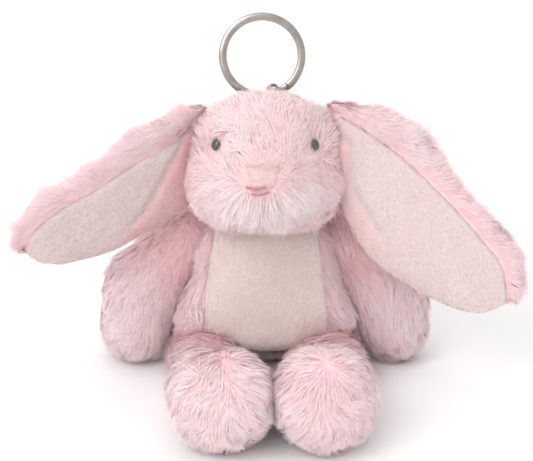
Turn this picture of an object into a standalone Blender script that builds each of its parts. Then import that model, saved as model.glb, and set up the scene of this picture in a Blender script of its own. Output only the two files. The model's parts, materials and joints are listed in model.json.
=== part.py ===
"""Plush rabbit key charm, sitting, with a split ring on its crown.

Metres, +Z up. The rabbit faces -Y and its seat rests on the plane z = 0. "left" and "right" are
as seen from the front, so left is -X. Each soft body is the hull of a few balls. Its fabric
covers are shells cut from that hull, with the stuffing inside. The outer size of a cover is the
size over its pile, lightly pressed.
"""

import math

import bmesh
import bpy
from mathutils import Matrix, Vector

MM = 0.001
LEFT = -1
RIGHT = 1
SIDES = {"left": LEFT, "right": RIGHT}

# Fabrics and fits
GAP = 0.3 * MM
PILE_COVER = 2.4 * MM
SHORT_COVER = 1.6 * MM
SWING_GAP = 0.6 * MM
REACH = 200.0 * MM

# Resolution of the balls
BALL_SEGMENTS = 14
BALL_RINGS = 8

# Balls of each soft body, in millimetres: centre, then half sizes
HEAD_BALLS = (
    ((-9.0, -15.0, 75.0), (17.0, 16.5, 16.5)),
    ((9.0, -15.0, 75.0), (17.0, 16.5, 16.5)),
    ((0.0, -15.0, 86.0), (21.0, 17.0, 19.0)),
    ((0.0, -7.0, 79.0), (16.0, 14.0, 15.0)),
    ((0.0, -24.0, 78.0), (15.0, 13.5, 13.0)),
)
TORSO_BALLS = (
    ((0.0, -1.0, 15.0), (30.5, 19.5, 16.0)),
    ((0.0, 6.0, 13.0), (30.0, 19.0, 17.0)),
    ((0.0, 1.0, 41.0), (20.5, 15.0, 13.0)),
)
ARM_BALLS = (
    ((31.0, 4.0, 43.5), (9.5, 9.5, 9.5)),
    ((44.5, 3.0, 27.0), (13.5, 14.0, 14.5)),
    ((46.5, 1.0, 13.2), (12.5, 13.0, 12.8)),
)
LEG_HIP = (21.5, -12.0, 12.3)
LEG_HIP_RADIUS = 12.0
LEG_FOOT_HEIGHT = 17.0
LEG_FOOT_REACH = -66.0
LEG_FOOT_RADIUS = 16.8
LEG_FOOT_X = {"left": -14.6, "right": 19.8}
LEG_RAISE = 15.0
TAIL_BALLS = (((0.0, 29.5, 14.0), (8.0, 7.5, 8.0)),)
TAIL_OPENING_Y = 25.6 * MM

# Head
NECK_PIVOT = Vector((0.0, -3.0, 49.0)) * MM
NECK_SEAM_RADIUS = 6.5 * MM
NECK_SEAM_THREAD = 0.7 * MM
NECK_SEAM_Z = 55.4 * MM
GUSSET_HALF_WIDTH = 8.0 * MM
EYE_CENTRE = Vector((16.7, -24.0, 90.8)) * MM
EYE_RADIUS = 2.05 * MM
EYE_DOME = 1.0 * MM
EYE_STEM_RADIUS = 0.6 * MM
EYE_STEM_LENGTH = 4.8 * MM
EYE_YAW = 56.0
EYE_PITCH = 20.0
WASHER_RADIUS = 2.6 * MM
WASHER_THICKNESS = 0.8 * MM
WASHER_DEPTH = 3.0 * MM
MOUTH_POINTS = ((-5.3, -36.9, 80.2), (-1.3, -37.95, 78.3), (4.0, -37.3, 80.0))
MOUTH_THREAD = 0.4 * MM

# Ears: pivot in millimetres and attitude in degrees, then discs (along, across, radius)
EAR_PIVOT = (26.0, -12.0, 91.5)
EAR_HALF_THICKNESS = 5.0
EAR_YAW = 20.0
EARS = {
    "left": {
        "droop": 30.0,
        "roll": 14.0,
        "discs": ((0, 0, 7), (14, -1, 12), (36, -7, 16), (60, 1, 12)),
    },
    "right": {
        "droop": 38.0,
        "roll": -10.0,
        "discs": ((0, 0, 7), (16, 5, 13.5), (28, -8, 14.5), (43, -6, 18.5), (68.5, -3, 14)),
    },
}
LINING_SLOPE = 0.2
LINING_OFFSET = 3.2 * MM

# Torso
BELLY_HALF_WIDTH = 23.0 * MM
BELLY_BACK_Y = -4.0 * MM
BELLY_BOTTOM = 13.5 * MM
SEAT_TOP = 1.8 * MM
SEAT_CENTRE_Y = 8.0 * MM
SEAT_HALF_SIZE = Vector((19.0, 10.4)) * MM
STUFFING_BOTTOM = 12.6 * MM
POUCH_CENTRE = Vector((0.0, 10.2, 7.2)) * MM
POUCH_HALF_SIZE = Vector((16.5, 6.0, 4.6)) * MM
LABEL_SIZE = Vector((0.5, 7.0, 10.0)) * MM
LABEL_CENTRE = Vector((-18.0, 25.0, 9.5)) * MM

# Ring hardware
LOOP_CENTRE = Vector((2.2, 1.0, 0.0)) * MM
LOOP_BASE_Z = 92.3 * MM
LOOP_TOP_Z = 98.7 * MM
LOOP_HALF_WIDTH = 3.8 * MM
LOOP_RIBBON_WIDTH = 3.0 * MM
LOOP_THICKNESS = 0.7 * MM
JUMP_RADIUS = 3.8 * MM
JUMP_WIRE = 0.6 * MM
JUMP_CLEARANCE = 1.2 * MM
JUMP_TURN = 38.0
JUMP_SPLIT_DEGREES = 8.0
RING_OUTER_RADIUS = 15.0 * MM
RING_BAND = 2.7 * MM
RING_WIRE_HEIGHT = 1.2 * MM
RING_COIL_PITCH = 1.35 * MM
RING_LEAN = 14.0
RING_SHIFT = -3.4 * MM
RING_START_DEGREES = 10.0
RING_CLIMB_START = 330.0
RING_CLIMB_END = 362.0
RING_END_DEGREES = 686.0
RING_FIRST_ANGLE = 300.0

# Colours
PINK = (0.90, 0.55, 0.60)
PALE_PINK = (0.92, 0.68, 0.71)
CREAM = (0.86, 0.78, 0.73)
WHITE = (0.85, 0.85, 0.84)
STEEL = (0.60, 0.56, 0.53)
DARK = (0.05, 0.05, 0.055)
ROSE = (0.70, 0.28, 0.32)


def clear_scene():
    for item in list(bpy.data.objects):
        bpy.data.objects.remove(item, do_unlink=True)


def material(name, colour, roughness, metallic=0.0):
    made = bpy.data.materials.new(name)
    made.use_nodes = True
    shader = made.node_tree.nodes["Principled BSDF"]
    shader.inputs["Base Color"].default_value = (*colour, 1.0)
    shader.inputs["Roughness"].default_value = roughness
    shader.inputs["Metallic"].default_value = metallic
    made.diffuse_color = (*colour, 1.0)
    return made


def add_object(name, bm, origin, colour, roughness=0.9, metallic=0.0):
    """A named object from world-space geometry, with its origin placed at origin."""
    bmesh.ops.translate(bm, verts=bm.verts, vec=-origin)
    mesh = bpy.data.meshes.new(name)
    bm.to_mesh(mesh)
    bm.free()
    made = bpy.data.objects.new(name, mesh)
    made.location = origin
    bpy.context.scene.collection.objects.link(made)
    mesh.materials.append(material(name, colour, roughness, metallic))
    mesh.shade_smooth()
    mesh.set_sharp_from_angle(angle=math.radians(40.0))
    return made


def add_cutter(name, bm):
    mesh = bpy.data.meshes.new(name)
    bm.to_mesh(mesh)
    bm.free()
    made = bpy.data.objects.new(name, mesh)
    bpy.context.scene.collection.objects.link(made)
    made.hide_render = True
    made.display_type = "WIRE"
    return made


def cut(target, cutter, operation="DIFFERENCE"):
    step = target.modifiers.new(cutter.name, "BOOLEAN")
    step.operation = operation
    step.solver = "EXACT"
    step.object = cutter


def frame_matrix(centre, half_sizes, axes=None):
    """Places a unit ball or cube: half_sizes along the three axes, around centre."""
    turn = Matrix.Identity(4)
    if axes is not None:
        turn = Matrix([list(row) for row in zip(*axes, strict=True)]).to_4x4()
    return Matrix.Translation(centre) @ turn @ Matrix.Diagonal(half_sizes).to_4x4()


def hull_of_balls(matrices):
    """The convex hull of unit balls placed by matrices."""
    bm = bmesh.new()
    for matrix in matrices:
        bmesh.ops.create_uvsphere(
            bm, u_segments=BALL_SEGMENTS, v_segments=BALL_RINGS, radius=1.0, matrix=matrix
        )
    bmesh.ops.delete(bm, geom=list(bm.edges) + list(bm.faces), context="EDGES_FACES")
    bmesh.ops.convex_hull(bm, input=list(bm.verts))
    bmesh.ops.delete(bm, geom=[v for v in bm.verts if not v.link_faces], context="VERTS")
    bmesh.ops.recalc_face_normals(bm, faces=list(bm.faces))
    return bm


def plain_balls(balls, inset=0.0):
    """Matrices for balls given in millimetres, each made smaller all round by inset."""
    matrices = []
    for centre, half_sizes in balls:
        shrunk = Vector(half_sizes) * MM - Vector((inset, inset, inset))
        matrices.append(frame_matrix(Vector(centre) * MM, shrunk))
    return matrices


def box_cutter(name, low, high):
    bm = bmesh.new()
    centre = (Vector(low) + Vector(high)) / 2
    half_sizes = (Vector(high) - Vector(low)) / 2
    bmesh.ops.create_cube(bm, size=2.0, matrix=frame_matrix(centre, half_sizes))
    return add_cutter(name, bm)


def ball_cutter(name, centre, radius):
    bm = bmesh.new()
    matrix = frame_matrix(centre, Vector((radius, radius, radius)))
    bmesh.ops.create_icosphere(bm, subdivisions=3, radius=1.0, matrix=matrix)
    return add_cutter(name, bm)


def rod(bm, start, direction, length, radius, up, squash=1.0, segments=16):
    """A straight rod. Its section is radius wide and squash times that along up."""
    side = direction.cross(up).normalized()
    lift = side.cross(direction).normalized()
    ends = []
    for distance in (0.0, length):
        ring = []
        for step in range(segments):
            angle = math.tau * step / segments
            spoke = side * math.cos(angle) + lift * squash * math.sin(angle)
            ring.append(bm.verts.new(start + direction * distance + spoke * radius))
        ends.append(ring)
    first, last = ends
    for step in range(segments):
        after = (step + 1) % segments
        bm.faces.new((first[step], first[after], last[after], last[step]))
    bm.faces.new(list(reversed(first)))
    bm.faces.new(last)
    bmesh.ops.recalc_face_normals(bm, faces=list(bm.faces))


def sweep(sections):
    """A closed solid through rings of points, with flat ends."""
    bm = bmesh.new()
    rings = [[bm.verts.new(point) for point in section] for section in sections]
    count = len(rings[0])
    for before, after in zip(rings, rings[1:]):
        for step in range(count):
            following = (step + 1) % count
            bm.faces.new((before[step], before[following], after[following], after[step]))
    bm.faces.new(list(reversed(rings[0])))
    bm.faces.new(rings[-1])
    bmesh.ops.recalc_face_normals(bm, faces=list(bm.faces))
    return bm


def cover_pieces(label, matrices_at, thickness, origin, colour, pieces):
    """Fabric shells of one soft body: each piece is the shell inside its own box."""
    inner = add_cutter(f"{label}_hollow_guide", hull_of_balls(matrices_at(thickness)))
    made = {}
    for name, keep in pieces.items():
        piece = add_object(name, hull_of_balls(matrices_at(0.0)), origin, colour)
        cut(piece, inner)
        cut(piece, keep, "INTERSECT")
        made[name] = piece
    return made


def stuffing_piece(name, matrices_at, thickness, origin):
    return add_object(name, hull_of_balls(matrices_at(thickness + GAP)), origin, WHITE)


def half_boxes(label, axis, at):
    """Two boxes that meet, with a gap, on the plane at a place along one axis."""
    low = [-REACH, -REACH, -REACH]
    high = [REACH, REACH, REACH]
    below_high = list(high)
    below_high[axis] = at - GAP / 2
    above_low = list(low)
    above_low[axis] = at + GAP / 2
    below = box_cutter(f"{label}_below_guide", low, below_high)
    above = box_cutter(f"{label}_above_guide", above_low, high)
    return below, above


def mirrored(balls, side):
    return tuple(((centre[0] * side, centre[1], centre[2]), sizes) for centre, sizes in balls)


def ear_axes(name):
    """The ear's own axes: along its length, out of its lining, and across it, upwards."""
    side = SIDES[name]
    droop = math.radians(EARS[name]["droop"])
    roll = math.radians(EARS[name]["roll"])
    yaw = math.radians(EAR_YAW)
    outward = side * math.cos(droop) * math.cos(yaw)
    along = Vector((outward, -math.cos(droop) * math.sin(yaw), -math.sin(droop)))
    upright = (Vector((0, 0, 1)) - along * along.z).normalized()
    facing = along.cross(upright) * side
    front = facing * math.cos(roll) - upright * math.sin(roll)
    across = upright * math.cos(roll) + facing * math.sin(roll)
    return along, front, across


def ear_pivot(name):
    return Vector((EAR_PIVOT[0] * SIDES[name], EAR_PIVOT[1], EAR_PIVOT[2])) * MM


def ear_matrices(name, inset):
    along, front, across = ear_axes(name)
    pivot = ear_pivot(name)
    matrices = []
    for distance, offset, radius in EARS[name]["discs"]:
        centre = pivot + (along * distance + across * offset) * MM
        wide = radius * MM - inset
        thin = EAR_HALF_THICKNESS * MM - inset
        matrices.append(frame_matrix(centre, Vector((wide, thin, wide)), (along, front, across)))
    return matrices


def lining_box(name, side_of_plane):
    """A box in the ear's axes whose face is the sloping plane between lining and back."""
    along, front, across = ear_axes(name)
    normal = (front - across * LINING_SLOPE).normalized()
    level = (across + front * LINING_SLOPE).normalized()
    on_plane = ear_pivot(name) + front * LINING_OFFSET
    centre = on_plane + normal * side_of_plane * (REACH + GAP / 2)
    bm = bmesh.new()
    matrix = frame_matrix(centre, Vector((REACH, REACH, REACH)), (along, normal, level))
    bmesh.ops.create_cube(bm, size=2.0, matrix=matrix)
    bmesh.ops.recalc_face_normals(bm, faces=list(bm.faces))
    return add_cutter(f"ear_{name}_lining_guide_{side_of_plane + 1}", bm)


def build_ear(name):
    pivot = ear_pivot(name)
    thickness = SHORT_COVER
    hollow = add_cutter(f"ear_{name}_hollow_guide", hull_of_balls(ear_matrices(name, thickness)))
    layers = (("back", PINK, -1), ("lining", CREAM, 1))
    for layer, colour, side_of_plane in layers:
        outer = hull_of_balls(ear_matrices(name, 0.0))
        piece = add_object(f"ear_{name}_{layer}", outer, pivot, colour)
        cut(piece, hollow)
        cut(piece, lining_box(name, side_of_plane), "INTERSECT")
    wadding = hull_of_balls(ear_matrices(name, thickness + GAP))
    add_object(f"ear_{name}_wadding", wadding, pivot, WHITE)


def ear_pocket(name):
    """The room in the head's side that the ear's round root turns in."""
    _, front, across = ear_axes(name)
    half = EAR_HALF_THICKNESS * MM + SWING_GAP
    radius = EARS[name]["discs"][0][2] * MM + SWING_GAP
    bm = bmesh.new()
    rod(bm, ear_pivot(name) - front * half, front, 2 * half, radius, across, segments=24)
    return add_cutter(f"ear_{name}_pocket_guide", bm)


def eye_axes(side):
    yaw = math.radians(EYE_YAW)
    pitch = math.radians(EYE_PITCH)
    level = math.cos(pitch)
    outward = Vector((side * math.sin(yaw) * level, -math.cos(yaw) * level, math.sin(pitch)))
    return outward, Vector((0, 0, 1))


def eye_place(side):
    return Vector((EYE_CENTRE.x * side, EYE_CENTRE.y, EYE_CENTRE.z))


def build_eye(name):
    """A moulded eye: a domed face, a short body through the cover, and a stem."""
    side = SIDES[name]
    outward, up = eye_axes(side)
    place = eye_place(side)
    across = outward.cross(up).normalized()
    lift = across.cross(outward).normalized()
    body_depth = PILE_COVER * 0.6
    dome_steps = ((0.0, 1.0), (0.55, 0.86), (0.85, 0.55), (0.97, 0.25))
    sections = []
    stem = EYE_STEM_RADIUS
    profile = [(-EYE_STEM_LENGTH, stem), (-body_depth, stem), (-body_depth, EYE_RADIUS)]
    for rise, share in dome_steps:
        profile.append((EYE_DOME * rise, EYE_RADIUS * share))
    for depth, radius in profile:
        ring = []
        for step in range(BALL_SEGMENTS):
            angle = math.tau * step / BALL_SEGMENTS
            spoke = across * math.cos(angle) + lift * math.sin(angle)
            ring.append(place + outward * depth + spoke * radius)
        sections.append(ring)
    add_object(f"eye_{name}", sweep(sections), place, DARK, 0.15)

    washer_place = place - outward * (WASHER_DEPTH + WASHER_THICKNESS)
    bm = bmesh.new()
    rod(bm, washer_place, outward, WASHER_THICKNESS, WASHER_RADIUS, up)
    washer = add_object(f"eye_washer_{name}", bm, place, WHITE, 0.4)
    bm = bmesh.new()
    hole = EYE_STEM_RADIUS + GAP
    rod(bm, place - outward * EYE_STEM_LENGTH * 2, outward, EYE_STEM_LENGTH * 3, hole, up)
    cut(washer, add_cutter(f"eye_stem_guide_{name}", bm))

    bm = bmesh.new()
    rod(bm, place - outward * PILE_COVER * 2, outward, PILE_COVER * 4, EYE_RADIUS + GAP, up)
    opening = add_cutter(f"eye_opening_guide_{name}", bm)
    bm = bmesh.new()
    depth = EYE_STEM_LENGTH + GAP
    rod(bm, place - outward * depth, outward, depth * 2, WASHER_RADIUS + GAP, up)
    recess = add_cutter(f"eye_recess_guide_{name}", bm)
    return opening, recess


def build_head():
    boxes = {
        "head_side_left": box_cutter(
            "head_left_guide", (-REACH, -REACH, -REACH), (-GUSSET_HALF_WIDTH - GAP, REACH, REACH)
        ),
        "head_side_right": box_cutter(
            "head_right_guide", (GUSSET_HALF_WIDTH + GAP, -REACH, -REACH), (REACH, REACH, REACH)
        ),
        "head_gusset": box_cutter(
            "head_gusset_guide",
            (-GUSSET_HALF_WIDTH, -REACH, -REACH),
            (GUSSET_HALF_WIDTH, REACH, REACH),
        ),
    }

    def matrices_at(inset):
        return plain_balls(HEAD_BALLS, inset)

    covers = cover_pieces("head", matrices_at, PILE_COVER, NECK_PIVOT, PALE_PINK, boxes)
    stuffing = stuffing_piece("head_stuffing", matrices_at, PILE_COVER, NECK_PIVOT)
    for name, side in SIDES.items():
        opening, recess = build_eye(name)
        cut(covers[f"head_side_{name}"], opening)
        cut(stuffing, recess)
        pocket = ear_pocket(name)
        cut(covers[f"head_side_{name}"], pocket)
        cut(stuffing, pocket)
        ear_room = add_cutter(f"ear_{name}_guide", hull_of_balls(ear_matrices(name, -GAP)))
        cut(covers[f"head_side_{name}"], ear_room)
    build_loop(covers["head_gusset"], stuffing)
    build_mouth()


def build_mouth():
    """One short curved stitch across the muzzle."""
    curve = bpy.data.curves.new("mouth_stitch", "CURVE")
    curve.dimensions = "3D"
    curve.bevel_depth = MOUTH_THREAD
    curve.bevel_resolution = 1
    curve.resolution_u = 5
    curve.use_fill_caps = True
    spline = curve.splines.new("BEZIER")
    spline.bezier_points.add(len(MOUTH_POINTS) - 1)
    for knot, place in zip(spline.bezier_points, MOUTH_POINTS, strict=True):
        knot.co = Vector(place) * MM - NECK_PIVOT
        knot.handle_left_type = "AUTO"
        knot.handle_right_type = "AUTO"
    made = bpy.data.objects.new("mouth_stitch", curve)
    made.location = NECK_PIVOT
    curve.materials.append(material("mouth_stitch", ROSE, 0.6))
    bpy.context.scene.collection.objects.link(made)


def build_loop(gusset, stuffing):
    """A folded ribbon that stands out of a slot in the crown."""
    height = LOOP_TOP_Z - LOOP_BASE_Z
    arc_steps = 10
    half_thick = LOOP_THICKNESS / 2
    line = [Vector((-LOOP_HALF_WIDTH + half_thick, 0, 0))]
    arc_radius = LOOP_HALF_WIDTH - half_thick
    straight = height - LOOP_HALF_WIDTH
    for step in range(arc_steps + 1):
        angle = math.pi * (1 - step / arc_steps)
        line.append(Vector((arc_radius * math.cos(angle), 0, straight + arc_radius * math.sin(angle))))
    line.append(Vector((arc_radius, 0, 0)))
    base = Vector((LOOP_CENTRE.x, LOOP_CENTRE.y, LOOP_BASE_Z))
    sections = []
    for index, place in enumerate(line):
        before = line[max(index - 1, 0)]
        after = line[min(index + 1, len(line) - 1)]
        tangent = (after - before).normalized()
        normal = Vector((-tangent.z, 0, tangent.x)) * half_thick
        across = Vector((0, LOOP_RIBBON_WIDTH / 2, 0))
        centre = base + place
        corners = (normal + across, normal - across, -normal - across, across - normal)
        sections.append([centre + corner for corner in corners])
    add_object("hanging_loop", sweep(sections), NECK_PIVOT, PINK, 0.7)
    room = Vector((LOOP_HALF_WIDTH + GAP, LOOP_RIBBON_WIDTH / 2 + GAP, height))
    slot = box_cutter("loop_slot_guide", base - room, base + room)
    cut(gusset, slot)
    cut(stuffing, slot)


def build_neck_seam():
    bm = bmesh.new()
    thread_steps = 6
    seam_steps = 20
    rings = []
    for turn in range(seam_steps):
        around = math.tau * turn / seam_steps
        outward = Vector((math.cos(around), math.sin(around), 0))
        ring = []
        for step in range(thread_steps):
            angle = math.tau * step / thread_steps
            radius = NECK_SEAM_RADIUS + NECK_SEAM_THREAD * math.cos(angle)
            lift = NECK_SEAM_Z + NECK_SEAM_THREAD * math.sin(angle)
            place = Vector((NECK_PIVOT.x, NECK_PIVOT.y, lift)) + outward * radius
            ring.append(bm.verts.new(place))
        rings.append(ring)
    for turn, ring in enumerate(rings):
        following = rings[(turn + 1) % seam_steps]
        for step in range(thread_steps):
            after = (step + 1) % thread_steps
            bm.faces.new((ring[step], ring[after], following[after], following[step]))
    bmesh.ops.recalc_face_normals(bm, faces=list(bm.faces))
    add_object("neck_seam_thread", bm, NECK_PIVOT, PINK, 0.7)


def limb_balls(name):
    kind, side_name = name.split("_")
    side = SIDES[side_name]
    if kind == "arm":
        return mirrored(ARM_BALLS, side)
    hip = (LEG_HIP[0] * side, LEG_HIP[1], LEG_HIP[2])
    foot = (LEG_FOOT_X[side_name], LEG_FOOT_REACH, LEG_FOOT_HEIGHT)
    return ((hip, (LEG_HIP_RADIUS,) * 3), (foot, (LEG_FOOT_RADIUS,) * 3))


def build_arm(side_name):
    name = f"arm_{side_name}"
    balls = limb_balls(name)
    pivot = Vector(balls[0][0]) * MM
    front, back = half_boxes(name, 1, balls[1][0][1] * MM)

    def matrices_at(inset):
        return plain_balls(balls, inset)

    pieces = {f"{name}_front": front, f"{name}_back": back}
    cover_pieces(name, matrices_at, PILE_COVER, pivot, PINK, pieces)
    stuffing_piece(f"{name}_stuffing", matrices_at, PILE_COVER, pivot)


def build_leg(side_name):
    name = f"leg_{side_name}"
    balls = limb_balls(name)
    hip = Vector(balls[0][0]) * MM
    foot = Vector(balls[1][0]) * MM
    forward = Vector((foot.x - hip.x, foot.y - hip.y, 0)).normalized()
    sideways = Vector((-forward.y, forward.x, 0))
    up = Vector((0, 0, 1))
    pieces = {}
    for half, sign in (("outer", SIDES[side_name]), ("inner", -SIDES[side_name])):
        centre = hip + sideways * sign * (REACH + GAP / 2)
        bm = bmesh.new()
        matrix = frame_matrix(centre, Vector((REACH, REACH, REACH)), (sideways, forward, up))
        bmesh.ops.create_cube(bm, size=2.0, matrix=matrix)
        bmesh.ops.recalc_face_normals(bm, faces=list(bm.faces))
        pieces[f"{name}_{half}"] = add_cutter(f"{name}_{half}_guide", bm)

    def matrices_at(inset):
        return plain_balls(balls, inset)

    cover_pieces(name, matrices_at, PILE_COVER, hip, PINK, pieces)
    stuffing_piece(f"{name}_stuffing", matrices_at, PILE_COVER, hip)


def leg_room(side_name):
    """The space that a leg sweeps between lying on the floor and its raised limit."""
    hip, foot = [Vector(centre) for centre, _ in limb_balls(f"leg_{side_name}")]
    raised = hip + Matrix.Rotation(math.radians(-LEG_RAISE), 3, "X") @ (foot - hip)
    spare = SWING_GAP / MM
    hip_size = (LEG_HIP_RADIUS + spare,) * 3
    foot_size = (LEG_FOOT_RADIUS + spare,) * 3
    balls = ((hip, hip_size), (foot, foot_size), (raised, foot_size))
    return add_cutter(f"hip_{side_name}_guide", hull_of_balls(plain_balls(balls)))


def torso_pockets():
    """Room for the round roots of the limbs, and for the legs when they hang straight down."""
    pockets = []
    for side_name, side in SIDES.items():
        pockets.append(leg_room(side_name))
        shoulder = Vector(mirrored(ARM_BALLS, side)[0][0]) * MM
        radius = ARM_BALLS[0][1][0] * MM + SWING_GAP
        pockets.append(ball_cutter(f"shoulder_{side_name}_guide", shoulder, radius))
    back = (LEG_HIP[1] + LEG_HIP_RADIUS) * MM + SWING_GAP
    hip_height = LEG_HIP[2] * MM
    pockets.append(box_cutter("leg_swing_guide", (-REACH, -REACH, -REACH), (REACH, back, hip_height)))
    return pockets


def build_torso():
    origin = Vector((0, 0, 0))

    def matrices_at(inset):
        return plain_balls(TORSO_BALLS, inset)

    bottom = SEAT_TOP + GAP
    boxes = {
        "torso_side_left": box_cutter(
            "torso_left_guide", (-REACH, -REACH, bottom), (-GAP / 2, REACH, REACH)
        ),
        "torso_side_right": box_cutter(
            "torso_right_guide", (GAP / 2, -REACH, bottom), (REACH, REACH, REACH)
        ),
        "belly_panel": box_cutter(
            "belly_guide",
            (-BELLY_HALF_WIDTH, -REACH, BELLY_BOTTOM),
            (BELLY_HALF_WIDTH, BELLY_BACK_Y, REACH),
        ),
    }
    covers = cover_pieces("torso", matrices_at, PILE_COVER, origin, PINK, boxes)
    covers["belly_panel"].active_material.node_tree.nodes["Principled BSDF"].inputs[
        "Base Color"
    ].default_value = (*CREAM, 1.0)
    stuffing = stuffing_piece("torso_stuffing", matrices_at, PILE_COVER, origin)
    cut(stuffing, box_cutter("stuffing_guide", (-REACH,) * 3, (REACH, REACH, STUFFING_BOTTOM)))
    belly_room = box_cutter(
        "belly_room_guide",
        (-BELLY_HALF_WIDTH - GAP, -REACH, -REACH),
        (BELLY_HALF_WIDTH + GAP, BELLY_BACK_Y + GAP, REACH),
    )
    for side_name in SIDES:
        cut(covers[f"torso_side_{side_name}"], belly_room)
    for pocket in torso_pockets():
        for side_name in SIDES:
            other = "right" if side_name == "left" else "left"
            if other not in pocket.name:
                cut(covers[f"torso_side_{side_name}"], pocket)
        cut(stuffing, pocket)
        if "hip" in pocket.name:
            cut(covers["belly_panel"], pocket)
    build_seat()


def build_seat():
    origin = Vector((0, 0, 0))
    bm = bmesh.new()
    start = Vector((0, SEAT_CENTRE_Y, 0))
    up = Vector((0, 1, 0))
    squash = SEAT_HALF_SIZE.y / SEAT_HALF_SIZE.x
    rod(bm, start, Vector((0, 0, 1)), SEAT_TOP, SEAT_HALF_SIZE.x, up, squash, 28)
    add_object("seat_panel", bm, origin, PINK)
    bm = hull_of_balls([frame_matrix(POUCH_CENTRE, POUCH_HALF_SIZE)])
    add_object("pellet_pouch", bm, origin, WHITE)
    bm = bmesh.new()
    bmesh.ops.create_cube(bm, size=2.0, matrix=frame_matrix(LABEL_CENTRE, LABEL_SIZE / 2))
    add_object("care_label", bm, origin, WHITE, 0.6)


def build_tail():
    origin = Vector((0, 0, 0))
    keep = box_cutter("tail_guide", (-REACH, TAIL_OPENING_Y, -REACH), (REACH, REACH, REACH))

    def matrices_at(inset):
        return plain_balls(TAIL_BALLS, inset)

    cover_pieces("tail", matrices_at, PILE_COVER, origin, PALE_PINK, {"tail_cover": keep})
    cut(stuffing_piece("tail_stuffing", matrices_at, PILE_COVER, origin), keep, "INTERSECT")


def jump_ring_centre():
    """The jump ring's wire passes just under the top of the ribbon loop."""
    wire_top = LOOP_TOP_Z - LOOP_THICKNESS - JUMP_CLEARANCE
    lift = wire_top - JUMP_WIRE + JUMP_RADIUS
    return Vector((LOOP_CENTRE.x, LOOP_CENTRE.y, lift))


def build_jump_ring():
    centre = jump_ring_centre()
    turn = math.radians(90.0 + JUMP_TURN)
    sideways = Vector((math.cos(turn), math.sin(turn), 0))
    axis = Vector((0, 0, 1)).cross(sideways)
    ring_steps = 26
    wire_steps = 6
    split = math.radians(JUMP_SPLIT_DEGREES)
    sections = []
    for index in range(ring_steps + 1):
        around = split / 2 + (math.tau - split) * index / ring_steps
        outward = sideways * math.cos(around) + Vector((0, 0, 1)) * math.sin(around)
        ring = []
        for step in range(wire_steps):
            angle = math.tau * step / wire_steps
            reach = JUMP_RADIUS + JUMP_WIRE * math.cos(angle)
            ring.append(centre + outward * reach + axis * JUMP_WIRE * math.sin(angle))
        sections.append(ring)
    pivot = centre - Vector((0, 0, JUMP_RADIUS))
    add_object("jump_ring", sweep(sections), pivot, STEEL, 0.25, 1.0)


def split_ring_pivot():
    """The middle of the split ring's band where it passes through the jump ring."""
    return jump_ring_centre() + Vector((0, 0, 0.5 * MM))


def coil_level(angle_degrees):
    """How far along the ring's axis the wire has climbed, from the first coil to the second."""
    share = (angle_degrees - RING_CLIMB_START) / (RING_CLIMB_END - RING_CLIMB_START)
    share = min(max(share, 0.0), 1.0)
    return RING_COIL_PITCH * share * share * (3 - 2 * share)


def build_split_ring():
    """A flat wire wound nearly twice round, with a short climb between the coils."""
    pivot = split_ring_pivot()
    middle_radius = RING_OUTER_RADIUS - RING_BAND / 2
    lean = math.radians(RING_LEAN)
    upward = Vector((0, math.sin(lean), math.cos(lean)))
    backward = Vector((0, math.cos(lean), -math.sin(lean)))
    sideways = Vector((1, 0, 0))
    rise = math.sqrt(middle_radius**2 - RING_SHIFT**2)
    centre = pivot + sideways * RING_SHIFT + upward * rise
    half_band = RING_BAND / 2
    half_height = RING_WIRE_HEIGHT / 2
    soft = 0.3 * RING_WIRE_HEIGHT
    outline = (
        (half_band, half_height - soft),
        (half_band - soft, half_height),
        (soft - half_band, half_height),
        (-half_band, half_height - soft),
        (-half_band, soft - half_height),
        (soft - half_band, -half_height),
        (half_band - soft, -half_height),
        (half_band, soft - half_height),
    )
    steps = 60
    sections = []
    for index in range(steps + 1):
        turned = RING_START_DEGREES + (RING_END_DEGREES - RING_START_DEGREES) * index / steps
        angle = math.radians(turned + RING_FIRST_ANGLE)
        outward = sideways * math.cos(angle) + upward * math.sin(angle)
        level = coil_level(turned) - RING_COIL_PITCH / 2
        ring = []
        for band, height in outline:
            ring.append(centre + outward * (middle_radius + band) + backward * (level + height))
        sections.append(ring)
    add_object("split_ring", sweep(sections), pivot, STEEL, 0.25, 1.0)


def main():
    clear_scene()
    build_torso()
    build_tail()
    for side_name in SIDES:
        build_arm(side_name)
        build_leg(side_name)
        build_ear(side_name)
    build_neck_seam()
    build_head()
    build_jump_ring()
    build_split_ring()


main()
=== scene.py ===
"""Looks of the plush rabbit key charm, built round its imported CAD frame.

Metres, +Z up, the rabbit faces -Y. "left" and "right" are as seen from the front, so left is -X.
Every soft body is a smooth skin made from its CAD covers, with a pile of separate strands rooted
on it. The strands follow a combing direction and gather into locks, as long plush does.
"""

import itertools
import json
import math

import bmesh
import bpy
import numpy as np
from mathutils import Matrix, Vector
from mathutils.bvhtree import BVHTree


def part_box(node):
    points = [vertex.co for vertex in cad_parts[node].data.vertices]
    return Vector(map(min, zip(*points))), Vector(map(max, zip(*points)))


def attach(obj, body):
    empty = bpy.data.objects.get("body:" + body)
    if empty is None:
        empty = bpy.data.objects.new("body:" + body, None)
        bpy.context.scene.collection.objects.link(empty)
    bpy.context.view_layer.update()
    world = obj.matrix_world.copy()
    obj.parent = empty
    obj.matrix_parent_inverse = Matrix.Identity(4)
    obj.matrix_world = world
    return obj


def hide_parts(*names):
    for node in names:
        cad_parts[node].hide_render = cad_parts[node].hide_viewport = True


MM = 0.001
SIDES = {"left": -1, "right": 1}
UP = np.array((0.0, 0.0, 1.0))

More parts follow.
